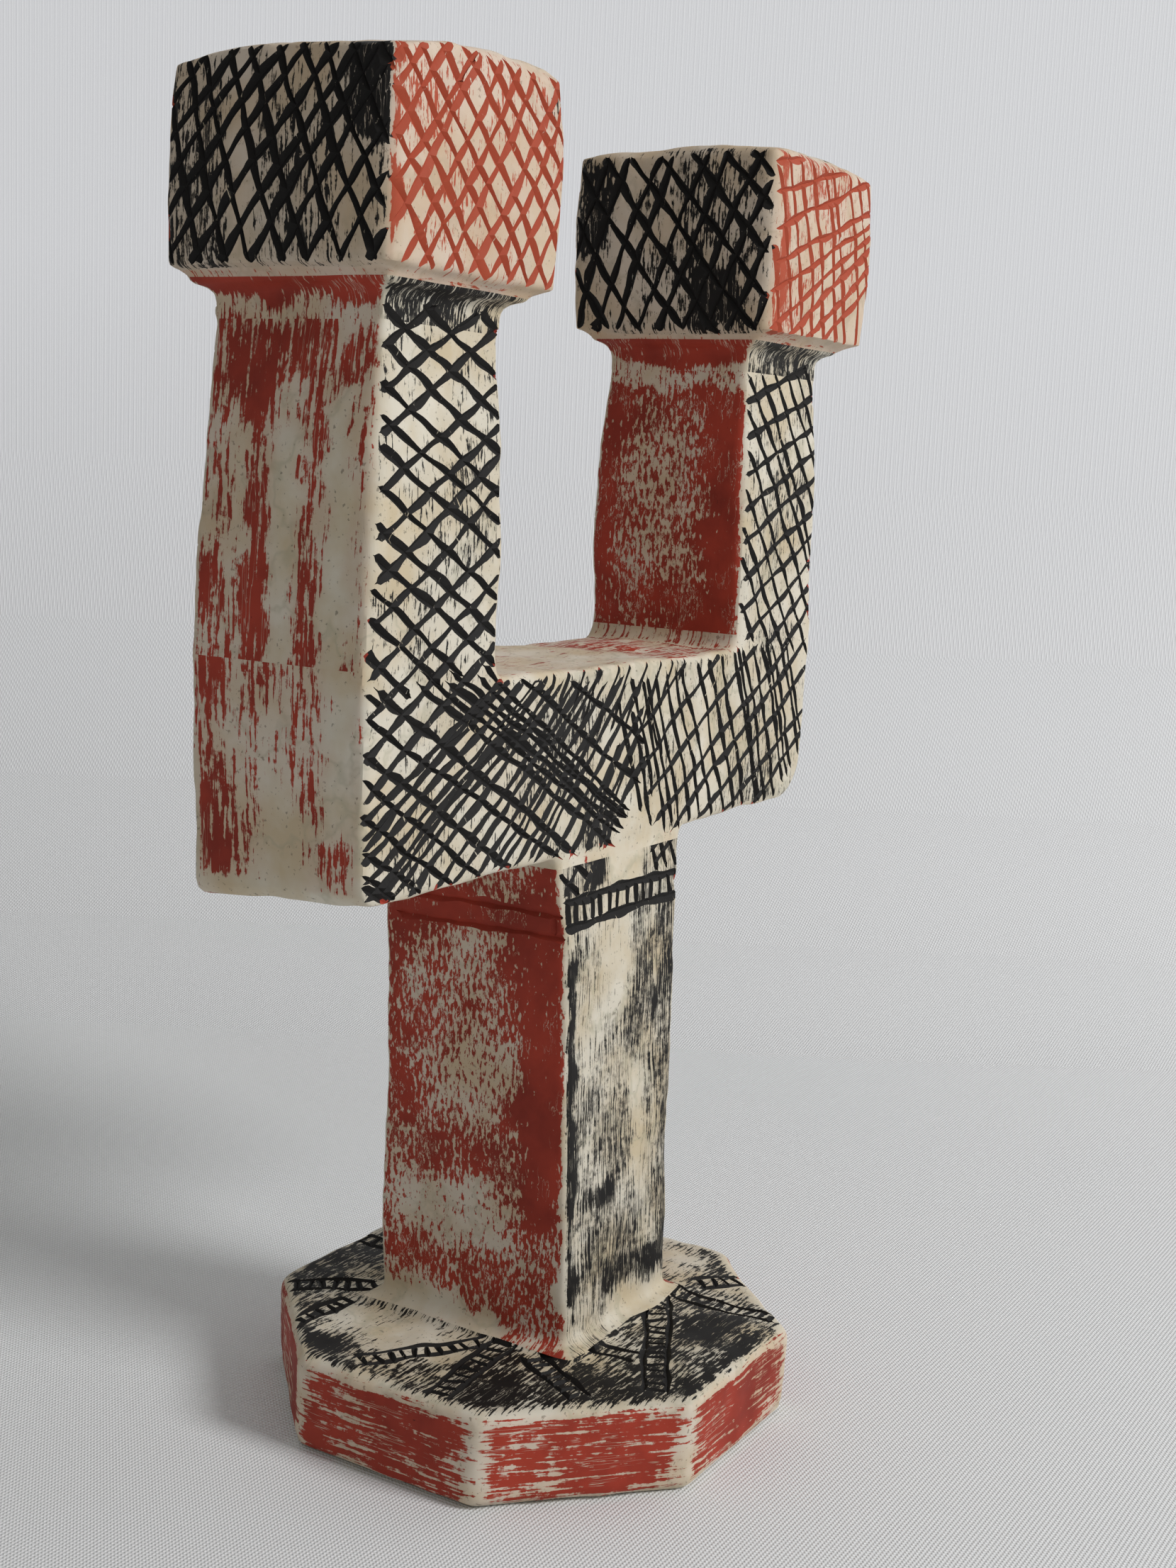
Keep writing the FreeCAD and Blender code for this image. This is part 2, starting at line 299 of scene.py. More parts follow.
left_head_low, left_head_high = box_mm("left_head")
right_head_low, right_head_high = box_mm("right_head")
sheets = {
    "left_head_left": left(-left_head_low.x),
    "left_head_right": right(left_head_high.x),
    "left_head_front": front(-left_head_low.y),
    "left_head_back": back(left_head_high.y),
    "right_head_left": left(-right_head_low.x),
    "right_head_right": right(right_head_high.x),
    "right_head_front": front(-right_head_low.y),
    "right_head_back": back(right_head_high.y),
    "body_front": front(17.5),
    "body_back": back(17.5),
    "stem_front": front(20.0),
    "stem_back": back(21.0),
    "stem_left": left(20.2),
    "stem_right": right(20.2),
    "base_top": Sheet(base_top, (0, 0, 1), (1, 0, 0), (0, 1, 0)),
}
print(len(sheets), "sheets")

# %% [markdown]
# ## Families of grooves
# Each side carries two or more families of roughly parallel grooves. A family is
# ruled across its sheet like this: a ruler lies from one point to another, lines
# cross it at even steps, and their slope changes evenly from its first line to its
# last. A patch with corners keeps them on the side. Small random errors then make
# them look cut by eye.

# %% Rule a family of lines


def clip_to_patch(start, end, patch):
    """The part of a straight line that lies inside a convex patch, or None."""
    enter, leave = 0.0, 1.0
    run = end - start
    turning = 0.0
    for a, b in zip(patch, np.roll(patch, -1, axis=0)):
        turning += a[0] * b[1] - a[1] * b[0]
    for a, b in zip(patch, np.roll(patch, -1, axis=0)):
        inward = np.array([a[1] - b[1], b[0] - a[0]]) * (1 if turning > 0 else -1)
        depth = inward @ (start - a)
        change = inward @ run
        if abs(change) < 1e-9:
            if depth < 0:
                return None
            continue
        crossing = -depth / change
        if change > 0:
            enter = max(enter, crossing)
        else:
            leave = min(leave, crossing)
    if enter >= leave:
        return None
    return start + run * enter, start + run * leave


grooves = []


def rule(members, sheet, patch, ruler, slopes, count, group, width=1.25, error=0.35, doubled=0.0,
         shorter=0.0, main=None, seed=1):
    """Add a family of lines to a sheet. slopes are degrees from level, first and last.

    The CAD members already carry every fourth line, from the one numbered main, so
    those lines are laid without an error.
    """
    dice = np.random.default_rng(seed)
    patch = np.array(patch, float)
    first, last = np.array(ruler[0], float), np.array(ruler[1], float)
    for step in range(count):
        share = step / max(count - 1, 1)
        crossing = first + (last - first) * share
        slope = math.radians(slopes[0] + (slopes[1] - slopes[0]) * share)
        slip, turn = dice.normal(0, error, 2), math.radians(dice.normal(0, 1.2))
        if main is None or step < main or (step - main) % 4:
            crossing = crossing + slip
            slope += turn
        reach = np.array([math.cos(slope), math.sin(slope)]) * 200
        kept = clip_to_patch(crossing - reach, crossing + reach, patch)
        if kept is None or np.linalg.norm(kept[1] - kept[0]) < 2.5:
            continue
        start, end = kept
        along = (end - start) / np.linalg.norm(end - start)
        start = start + along * dice.exponential(shorter) if shorter else start
        end = end - along * dice.exponential(shorter) if shorter else end
        grooves.append((sheet, start, end, group, members, width * dice.uniform(0.82, 1.2)))
        if dice.random() < doubled:
            aside = np.array([-along[1], along[0]]) * dice.uniform(1.5, 2.1)
            lean = np.array([-along[1], along[0]]) * dice.normal(0, 0.5)
            doubled_group = group + "_doubled"
            grooves.append((sheet, start + aside, end + aside + lean, doubled_group, members, width * 0.9))


def block_patch(u0, u1, v0, v1, over=1.2):
    return [(u0 - over, v0 - over), (u1 + over, v0 - over), (u1 + over, v1 + over), (u0 - over, v1 + over)]


# %% [markdown]
# ## Grooves on the heads
# The left and right sides of each head are a black net of tall diamonds. The fronts
# are cut finer and painted red. The far sides are not in the photo and carry the
# same two nets, as such a pair of heads would.

# %% Grooves on the left head
crown = 239.2
head = ("left_head",)
side_patch = block_patch(-21.6, 21.6, 207.6, crown, 0.9)
for name, seed in (("left_head_left", 11), ("left_head_right", 12)):
    rule(head, name, side_patch, ((-45, 207.5), (18, 207.5)), (43, 57), 12, "x_climbing", main=3, seed=seed)
    rule(head, name, side_patch, ((-27, 238), (19, 238)), (-77, -61), 11, "x_falling", main=2, seed=seed + 20)
front_patch = block_patch(left_head_low.x, left_head_high.x, 207.2, crown + 1.5, 0.9)
name = "left_head_front"
rule(head, name, front_patch, ((-109, 207.5), (-40, 207.5)), (47, 58), 13, "y_climbing", main=2, seed=13)
rule(head, name, front_patch, ((-108, 240), (-41, 240)), (-47, -43), 12, "y_falling", main=1, seed=14)
mirrored = block_patch(-left_head_high.x, -left_head_low.x, 207.2, crown + 1.5, 0.9)
name = "left_head_back"
rule(head, name, mirrored, ((12, 207.5), (81, 207.5)), (47, 55), 13, "y_climbing", main=2, seed=15)
rule(head, name, mirrored, ((14, 240), (81, 240)), (-47, -43), 12, "y_falling", main=1, seed=16)
print("left head:", len(grooves), "grooves")

# %% Grooves on the right head
head = ("right_head",)
side_patch = block_patch(-22.6, 22.6, 207.2, 241.5, 0.9)
for name, seed in (("right_head_left", 21), ("right_head_right", 22)):
    rule(head, name, side_patch, ((-27, 207), (18.5, 207)), (73, 64), 10, "x_climbing", width=1.4, main=1,
         seed=seed)
    rule(head, name, side_patch, ((-38, 242), (17, 242)), (-55, -43), 9, "x_falling", width=1.4, main=0,
         seed=seed + 20)
front_patch = block_patch(right_head_low.x, right_head_high.x, 206.6, 242.5, 0.9)
name = "right_head_front"
rule(head, name, front_patch, ((39.5, 205), (97, 205)), (-70, -76), 12, "y_falling", main=1, seed=23)
rule(head, name, front_patch, ((40, 190), (40, 240)), (37, 12), 9, "y_climbing", main=2, seed=24)
mirrored = block_patch(-right_head_high.x, -right_head_low.x, 206.6, 242.5, 0.9)
name = "right_head_back"
rule(head, name, mirrored, ((-82, 205), (-25, 205)), (-70, -76), 12, "y_falling", main=1, seed=25)
rule(head, name, mirrored, ((-82, 190), (-82, 240)), (37, 12), 9, "y_climbing", main=2, seed=26)
print("with the right head:", len(grooves), "grooves")

# %% [markdown]
# ## Grooves on the arms and the yoke
# The front of the U is one net of black grooves. On each half the lines fan out, and
# the two halves meet in a V over the stem.

# %% Grooves on the front and back of the U
for name, seed in (("body_front", 31), ("body_back", 51)):
    members = ("left_arm", "yoke", "left_neck") if name == "body_front" else ("right_arm", "yoke", "right_neck")
    arm = [(-81, 141), (-44.6, 147), (-44.6, 203), (-77.0, 203)]
    rule(members, name, arm, ((-79, 144), (-79, 225)), (-31, -23), 16, "arm_falling", seed=seed, width=1.35)
    arm = [(-81, 117), (-44.6, 141), (-44.6, 203), (-77.0, 203)]
    rule(members, name, arm, ((-79, 120), (-79, 202)), (34, 27), 13, "arm_climbing", seed=seed + 1, width=1.35)
    members = ("right_arm", "yoke", "right_neck") if name == "body_front" else ("left_arm", "yoke", "left_neck")
    arm = [(42.4, 147), (79, 141), (75.5, 203), (42.4, 200)]
    rule(members, name, arm, ((43, 147), (43, 238)), (-51, -53), 13, "arm_falling", seed=seed + 2)
    rule(members, name, arm, ((43, 131), (43, 201)), (30, 15), 11, "arm_climbing", seed=seed + 3)
    members = ("yoke", "left_arm", "right_arm")
    half = [(-81, 110.2), (-2, 110.6), (7, 124), (4, 145.5), (-46, 145.5), (-81, 149)]
    rule(members, name, half, ((-79, 115), (-79, 172)), (-31, -28), 12, "left_falling", seed=seed + 4,
         doubled=0.25, main=2)
    rule(members, name, half, ((-101, 112), (-6, 112)), (29, 50), 17, "left_climbing", seed=seed + 5,
         doubled=0.1, main=0)
    rule(members, name, [(-22, 110.8), (-4, 110.8), (6, 128), (2, 134)], ((-17, 112), (-8, 112)), (56, 60), 3,
         "left_border", seed=seed + 8, error=0.2)
    rule(members, name, [(-16, 132), (6, 132), (30, 145.5), (-34, 145.5)], ((-28, 141), (20, 141)), (57, 62), 10,
         "middle_climbing", seed=seed + 9, width=1.0)
    rule(members, name, [(-4, 126), (10, 112), (12, 134), (-4, 145.5)], ((2, 126), (12, 126)), (-66, -66), 3,
         "middle_falling", seed=seed + 10, width=1.1)
    half = [(5, 122), (12, 110.6), (64, 110.6), (78, 122), (78, 149), (44, 145.5), (-2, 145.5)]
    rule(members, name, half, ((11, 112), (80, 112)), (-67, -63), 15, "right_falling", seed=seed + 6,
         doubled=0.15, main=0)
    rule(members, name, half, ((-26, 112), (66, 112)), (33, 29), 9, "right_climbing", seed=seed + 7, main=0)
print("with the U:", len(grooves), "grooves")

# %% [markdown]
# ## Ladders
# Under the V, and out across the top of the base, the carver drew ladders: two long
# grooves with short rungs between them.

# %% Ladders on the stem and the base


def ladder(members, sheet, start, end, gap, rung_step, group, width=1.3, seed=1):
    """Two rails from start to end, gap apart, with rungs between them."""
    dice = np.random.default_rng(seed)
    start, end = np.array(start, float), np.array(end, float)
    run = end - start
    length = np.linalg.norm(run)
    run /= length
    aside = np.array([-run[1], run[0]])
    for hand in (-0.5, 0.5):
        slip = aside * (gap * hand + dice.normal(0, 0.15))
        grooves.append((sheet, start + slip, end + slip + aside * dice.normal(0, 0.4), group, members, width))
    place = rung_step * 0.7
    while place < length - 0.5:
        middle = start + run * place
        lean = run * dice.normal(0, 0.35)
        grooves.append((sheet, middle - aside * gap * 0.55 - lean, middle + aside * gap * 0.55 + lean,
                        group + "_rungs", members, width * 0.8))
        place += rung_step * dice.uniform(0.8, 1.2)


stem_members = ("stem",)
for name, seed in (("stem_front", 71), ("stem_back", 72)):
    ladder(stem_members, name, (-21.5, 100.4), (21.5, 100.4), 4.8, 3.2, "stem_band", width=1.7, seed=seed)
    left_wedge = [(-22, 103.5), (-14, 103.5), (-5, 111), (-22, 111)]
    rule(stem_members, name, left_wedge, ((-26, 104), (-8, 104)), (48, 50), 4, "stem_climbing", seed=seed)
    rule(stem_members, name, left_wedge, ((-22, 108), (-22, 118)), (-34, -34), 3, "stem_falling", seed=seed)
    right_wedge = [(12, 103.5), (21, 103.5), (21, 111), (8, 111)]
    rule(stem_members, name, right_wedge, ((13, 104), (24, 104)), (-63, -60), 4, "stem_falling", seed=seed)
    rule(stem_members, name, right_wedge, ((8, 102), (8, 110)), (35, 35), 3, "stem_climbing", seed=seed)
ladder(stem_members, "stem_left", (-19, 98.0), (19, 98.0), 4.2, 50.0, "stem_side", width=1.5, seed=73)
ladder(stem_members, "stem_right", (-19, 98.0), (19, 98.0), 4.2, 50.0, "stem_side", width=1.5, seed=74)
base_ladders = [
    ((-26.5, 41.5), (-14.5, 25.5), 4.5, 2.6),
    ((-44.0, 28.6), (-22.5, 25.5), 3.6, 2.4),
    ((-44.5, 8.0), (-22.5, -7.0), 4.2, 2.6),
    ((-47.0, -11.5), (-21.5, -9.5), 4.6, 2.8),
    ((-32.5, -33.0), (-23.5, -16.5), 4.0, 2.6),
    ((-22.5, -42.5), (14.5, -22.0), 4.6, 2.4),
    ((-11.8, -33.0), (-13.5, -19.5), 3.0, 40.0),
    ((20.0, -46.5), (18.6, -19.5), 4.2, 2.5),
    ((41.0, -35.5), (25.0, -24.8), 4.6, 2.8),
    ((45.0, 2.0), (22.5, 3.0), 4.4, 2.7),
    ((38.0, 36.0), (23.0, 23.5), 4.4, 2.7),
    ((4.0, 44.5), (3.0, 25.5), 4.4, 2.7),
]
for number, (start, end, gap, rung_step) in enumerate(base_ladders):
    ladder(("base",), "base_top", start, end, gap, rung_step, "base_%02d" % number, width=1.3, seed=80 + number)
print("with the ladders:", len(grooves), "grooves")

# %% [markdown]
# ## Cutting the grooves
# A knife cut is a long V. Each cutter starts as a three-sided bar, made once with
# many rings along it. Copies are laid on their lines, follow the uneven surface
# and waver a little. Lines of one family never cross, so all cutters of a family go
# into a single boolean cut, and a face that a cutter leaves keeps its second material.

# %% Make the bar and lay one on each line
rings = 26
groove_depth = 0.55
bar_top = 0.7


def ruled_bar():
    """A three-sided bar from x = 0 to 1, divided into rings, its sharp edge down."""
    bm = bmesh.new()
    turn = Matrix.Rotation(math.pi / 2, 4, "Y")
    bmesh.ops.create_cone(bm, cap_ends=True, segments=3, radius1=1, radius2=1, depth=1, matrix=turn)
    bmesh.ops.translate(bm, verts=bm.verts, vec=(0.5, 0, 0))
    long_edges = [edge for edge in bm.edges if abs(edge.verts[0].co.x - edge.verts[1].co.x) > 0.5]
    bmesh.ops.subdivide_edges(bm, edges=long_edges, cuts=rings - 1)
    bmesh.ops.triangulate(bm, faces=bm.faces)
    bmesh.ops.recalc_face_normals(bm, faces=bm.faces)
    mesh = bpy.data.meshes.new("bar")
    bm.to_mesh(mesh)
    bm.free()
    return mesh


bar = ruled_bar()
bar_points = read_points(bar) * mm
ring_of_point = np.rint(bar_points[:, 0] * rings).astype(int)
is_edge = bar_points[:, 2] < bar_points[:, 2].min() + 0.01
side_of_point = np.where(is_edge, 0.0, np.sign(bar_points[:, 1]))
print("bar:", len(bar.vertices), "points, of them on the sharp edge:", int(is_edge.sum()))

# %% Shape the bars to their lines
block_mesh = block.data
skin = BVHTree.FromPolygons(
    [vertex.co for vertex in block_mesh.vertices],
    [tuple(face.vertices) for face in block_mesh.polygons],
)


def heights_along(sheet, u, v):
    """How far the carved surface stands above the sheet at each place of a line."""
    starts = sheet.place(u, v, 12.0)
    found = np.full(len(u), np.nan)
    for place, start in enumerate(starts):
        spot, slope, _, _ = skin.ray_cast(Vector(start * mm), Vector(-sheet.looks), 24.0 * mm)
        if spot is not None and slope.dot(Vector(sheet.looks)) > 0.9:
            found[place] = np.array(spot) @ sheet.looks / mm - sheet.level
    good = np.isfinite(found)
    if good.sum() < 3:
        return None
    stations = np.arange(len(u))
    filled = np.interp(stations, stations[good], found[good])
    return np.convolve(np.pad(filled, 1, mode="edge"), (0.25, 0.5, 0.25), mode="valid")


def shaped_bar(groove, dice):
    """The bar's points for one groove, in millimetres, or None where it misses the block."""
    sheet_name, start, end, _, _, width = groove
    sheet = sheets[sheet_name]
    share = np.linspace(0, 1, rings + 1)
    run = end - start
    length = np.linalg.norm(run)
    aside = np.array([-run[1], run[0]]) / length
    waver = 0.22 * np.sin(share * length / dice.uniform(3.0, 6.0) + dice.uniform(0, 6.3))
    waver += 0.10 * np.sin(share * length / dice.uniform(0.9, 1.6) + dice.uniform(0, 6.3))
    middle = start + share[:, None] * run + waver[:, None] * aside
    height = heights_along(sheet, middle[:, 0], middle[:, 1])
    if height is None:
        return None
    pressure = 1 + 0.14 * np.sin(share * length / dice.uniform(1.2, 3.0) + dice.uniform(0, 6.3))
    ends = np.minimum(share, 1 - share) * length
    depth = groove_depth * pressure * np.clip(ends / 0.9, 0.15, 1)
    half_top = width / 2 * pressure * (bar_top + depth) / groove_depth * np.clip(ends / 0.9, 0.4, 1)
    ring = ring_of_point
    across = side_of_point * half_top[ring]
    u = middle[ring, 0] + across * aside[0]
    v = middle[ring, 1] + across * aside[1]
    lift = np.where(is_edge, -depth[ring], bar_top) + height[ring]
    flat = sheet.place(u, v)
    return flat + lift[:, None] * sheet.looks


def cutter_for(group):
    """All bars of one group as one mesh object, every face in the second material."""
    dice = np.random.default_rng(len(group) * 7 + 1)
    shaped = [shaped_bar(groove, dice) for groove in grooves if groove[3] == group]
    shaped = [points for points in shaped if points is not None]
    bm = bmesh.new()
    for _ in shaped:
        bm.from_mesh(bar)
    for face in bm.faces:
        face.material_index = 1
    mesh = bpy.data.meshes.new("cutter_" + group)
    bm.to_mesh(mesh)
    bm.free()
    write_points(mesh, np.concatenate(shaped))
    return new_object("cutter_" + group, mesh)


# %% Cut every group in turn
for group in sorted({groove[3] for groove in grooves}):
    tool = cutter_for(group)
    members = sorted({name for groove in grooves if groove[3] == group for name in groove[4]})
    for name in members:
        cut(pieces[name], new_object("tool", tool.data), "DIFFERENCE")
    bpy.data.objects.remove(tool)
print("cut", len({groove[3] for groove in grooves}), "groups of grooves")
for name, piece in pieces.items():
    marks = np.zeros(len(piece.data.polygons), int)
    piece.data.polygons.foreach_get("material_index", marks)
    print(name, "faces:", len(marks), "in grooves:", int((marks == 1).sum()))
bpy.data.objects.remove(block)

# %% [markdown]
# ## Where the paint stays
# Paint was brushed on whole sides, black or red, and rubbed back. Each piece gets
# two painted attributes, black and red, from 0 (bare) to 1 (solid). They come from
# the side that a point lies on, its distance to the arris, and named strokes.

# %% Sides of each member


def blend_width(name, levels, z):
    """The four side planes of a member at each height z, from its CAD rings."""
    rings_here = np.array([width_at(name, level) for level in levels])
    return [np.interp(z, levels, rings_here[:, column]) for column in range(4)]


def side_distances(name, points):
    """Distance in millimetres from every point to each side of its member."""
    x, y, z = points.T
    far_away = np.full(len(points), 99.0)
    if name == "base":
        low, high = box_mm("base")
        middle = (low + high) / 2
        reach = (high.x - low.x) / 2
        distances = {"top": base_top - z, "under": z}
        for step in range(8):
            turn = step * math.pi / 4
            out = (x - middle.x) * math.cos(turn) + (y - middle.y) * math.sin(turn)
            distances["wall_%d" % step] = reach - out
        return distances
    if name == "yoke":
        low, high = box_mm("yoke")
        on_bridge = (x > -45.5) & (x < 43.5)
        distances = {
            "front": y - low.y,
            "back": high.y - y,
            "left": x - low.x,
            "right": high.x - x,
            "top": np.where(on_bridge, yoke_top - z, far_away),
            "under": z - yoke_bottom,
        }
        distances["inner_right"] = np.where((x < -42) & (z > yoke_top - 1), -44.8 - x + 2, far_away)
        distances["inner_left"] = np.where((x > 40) & (z > yoke_top - 1), x - 42.8 + 2, far_away)
        return distances
    if "head" in name:
        low, high = box_mm(name)
        return {
            "left": x - low.x,
            "right": high.x - x,
            "front": y - low.y,
            "back": high.y - y,
            "top": (high.z - 0.8 - z) * 1.3,
            "under": (z - head_seat) * 1.6,
        }
    if name == "stem":
        levels = (base_top + 3.4, 96.9, stem_seat)
        x0, x1, y0, y1 = blend_width("stem", levels, z)
    else:
        arm = "left_arm" if "left" in name else "right_arm"
        x0, x1, y0, y1 = blend_width(arm, (arm_seat, arm_top), z)
    return {"left": x - x0, "right": x1 - x, "front": y - y0, "back": y1 - y}


# %% [markdown]
# ## Strokes and bare places
# Some strokes are broad enough to be told apart: a stripe down the stem, a smear under
# a head, a place rubbed down to the stone. Each is a soft box on one side, with the
# cover that it leaves there and the width of its soft margin.

# %% Strokes on the heads
paint_strokes = {
    ("left_head", "left"): [
        ("black", 0.98, (13, 22), (224, 240), 1.2),
        ("black", 0.52, (-22, -10), (207, 236), 3),
        ("black", 0.50, (0, 11), (209, 232), 3),
        ("black", 0.05, (-8, -4), (208, 238), 1),
        ("black", 0.05, (-1, 5), (236, 240), 1),
    ],
    ("left_head", "front"): [
        ("red", 0.90, (-84, -80.5), (206, 240), 0.8),
        ("red", 0.48, (-82, -72), (226, 239), 4),
        ("red", 0.42, (-46, -37), (224, 238), 4),
        ("black", 0.40, (-43, -37), (233, 240), 1.5),
    ],
    ("right_head", "left"): [
        ("black", 0.80, (-22, -13), (222, 241), 2),
        ("black", 0.98, (5, 17), (208, 221), 1.5),
        ("black", 0.56, (2, 21), (222, 241), 3),
        ("black", 0.05, (-11.5, -7.5), (209, 240), 1),
        ("black", 0.00, (-2.0, -0.2), (224, 242), 0.5),
    ],
    ("right_head", "front"): [
        ("red", 0.60, (38, 47), (206, 221), 3),
        ("red", 0.90, (41, 44), (206, 242), 0.8),
        ("red", 0.00, (60, 64.5), (205, 226), 1),
    ],
}
print("strokes on the heads:", sum(len(strokes) for strokes in paint_strokes.values()))

# %% Strokes on the stem, the arms and the yoke
paint_strokes.update({
    ("stem", "left"): [
        ("red", 0.66, (-23, 17.5), (24.5, 33), 3),
        ("red", 0.28, (-19, 7), (34, 46), 4),
        ("red", 0.40, (-12, 6), (56, 72), 5),
        ("red", 0.92, (11, 18), (40, 109), 2.5),
        ("red", 0.80, (6, 18), (82, 106), 4),
        ("red", 0.72, (-23, -17), (60, 96), 3),
        ("red", 0.97, (-23, 18), (96.5, 99.5), 0.8),
        ("red", 0.08, (-23, 6), (17, 21.5), 1.2),
        ("red", 0.20, (19.3, 23), (24, 104), 0.6),
    ],
    ("stem", "front"): [
        ("black", 0.92, (-20, -16.5), (26, 92), 1.2),
        ("black", 0.62, (15, 21), (30, 90), 2.5),
        ("black", 0.86, (-12, -3), (42, 46.5), 1.6),
        ("black", 0.60, (-15, 6), (28, 40), 3),
        ("black", 0.78, (-5, 21), (24, 30), 1.5),
        ("black", 0.12, (-6, 23), (17, 21.5), 1.2),
        ("black", 0.22, (-8, 3), (78, 97), 3),
        ("black", 0.18, (4, 8.5), (46, 66), 2),
        ("black", 0.90, (-12, -6), (104, 110), 1),
        ("black", 0.00, (-4, 7), (103.5, 112), 1),
    ],
    ("left_arm", "left"): [
        ("red", 0.74, (-7.5, -2.5), (146, 197), 1.4),
        ("red", 0.56, (-15.5, -11), (146, 197), 1.4),
        ("red", 0.60, (3.2, 8.4), (146, 194), 1.4),
        ("red", 0.42, (12.5, 15.5), (158, 196), 1),
        ("red", 0.66, (-15, 7), (189, 199), 3),
        ("red", 0.08, (9, 12.4), (146, 188), 1),
        ("red", 0.12, (-1.5, 2.5), (146, 182), 1.4),
    ],
    ("yoke", "left"): [
        ("red", 0.60, (-16, -10), (112, 148), 2),
        ("red", 0.50, (-7, -3), (124, 148), 1.6),
        ("red", 0.48, (3, 8), (124, 148), 1.6),
        ("red", 0.66, (6.5, 14.5), (112, 121), 3),
        ("red", 0.08, (10, 15), (124, 148), 1.6),
        ("red", 0.14, (-3, 3), (112, 130), 3),
    ],
    ("right_arm", "left"): [
        ("red", 0.86, (-17, -11), (147, 197), 3),
        ("red", 0.90, (9, 17), (147, 197), 3),
        ("red", 0.52, (-10, 8), (156, 188), 5),
        ("red", 0.40, (-17, 17), (196.5, 201), 1),
    ],
    ("yoke", "inner_left"): [
        ("red", 1.00, (-18, 18), (145, 149), 2),
    ],
    ("yoke", "front"): [
        ("black", 0.44, (-30, -6), (130, 140), 4),
        ("black", 0.44, (40, 66), (111, 123), 4),
        ("black", 0.36, (-74, -52), (114, 126), 5),
        ("black", 0.62, (-14, -4), (110, 117), 2),
        ("black", 0.04, (28, 32.5), (112, 146), 1),
    ],
    ("yoke", "top"): [
        ("red", 0.48, (14, 44), (-18, 18), 6),
        ("red", 0.24, (-30, 8), (-18, 18), 6),
    ],
    ("left_neck", "left"): [
        ("red", 0.85, (-20, 20), (203.4, 207), 0.8),
        ("red", 0.34, (-20, 20), (200, 202.8), 1.0),
    ],
    ("right_neck", "left"): [
        ("red", 0.85, (-20, 20), (202, 207), 0.8),
        ("red", 0.35, (-20, 20), (199, 201.5), 0.8),
    ],
    ("base", "top"): [
        ("black", 0.80, (-44, -37), (12, 27), 2),
        ("black", 0.80, (-45, -35), (-23, -15), 2),
        ("black", 0.88, (-1, 16), (-42, -34), 2),
        ("black", 0.85, (-21, 16), (-49, -45.5), 1.5),
        ("black", 0.66, (-6, 21), (-24, -17), 2),
        ("black", 0.24, (-36, -24), (-6, 24), 4),
        ("black", 0.24, (24, 40), (-22, 10), 4),
    ],
})
print("strokes in all:", sum(len(strokes) for strokes in paint_strokes.values()))


# %% Lay on the paint and rub it back
side_paint = {
    "base": {"top": ("black", 0.58), "wall": ("red", 0.68)},
    "stem": {"left": ("red", 0.57), "right": ("red", 0.57), "front": ("black", 0.44), "back": ("black", 0.44)},
    "yoke": {"front": ("black", 0.26), "back": ("black", 0.26), "left": ("red", 0.42), "right": ("red", 0.5),
             "top": ("red", 0.26), "under": ("red", 0.1), "inner_right": ("red", 0.6), "inner_left": ("red", 0.7)},
    "left_arm": {"left": ("red", 0.44), "right": ("red", 0.6), "front": ("black", 0.30), "back": ("black", 0.30)},
    "right_arm": {"left": ("red", 0.72), "right": ("red", 0.5), "front": ("black", 0.26), "back": ("black", 0.26)},
    "left_neck": {"left": ("red", 0.5), "right": ("red", 0.5), "front": ("black", 0.6), "back": ("black", 0.5)},
    "right_neck": {"left": ("red", 0.8), "right": ("red", 0.5), "front": ("black", 0.6), "back": ("black", 0.5)},
    "left_head": {"left": ("black", 0.36), "right": ("black", 0.36), "front": ("red", 0.22), "back": ("red", 0.22),
                  "top": ("black", 0.16), "under": ("red", 0.3)},
    "right_head": {"left": ("black", 0.38), "right": ("black", 0.36), "front": ("red", 0.26), "back": ("red", 0.24),
                   "top": ("black", 0.16), "under": ("red", 0.3)},
}


def on_side(side, points):
    """u and v of points on a side, as on its sheet."""
    x, y, z = points.T
    if side in ("top", "under"):
        return x, y
    turned = {"front": x, "back": -x, "right": y, "inner_right": y, "left": -y, "inner_left": -y}
    return turned.get(side, x), z


def soft_box(u, v, u_span, v_span, soft):
    """1 inside a box on a side, 0 outside it, over a margin of soft millimetres."""
    share = flow(u_span[0] - soft, u_span[0] + soft, u) * flow(u_span[1] + soft, u_span[1] - soft, u)
    return share * flow(v_span[0] - soft, v_span[0] + soft, v) * flow(v_span[1] + soft, v_span[1] - soft, v)


def add_layer(mesh, name, kind, domain, values):
    layer = mesh.attributes.new(name, kind, domain)
    layer.data.foreach_set("value", np.asarray(values, np.float32).ravel())


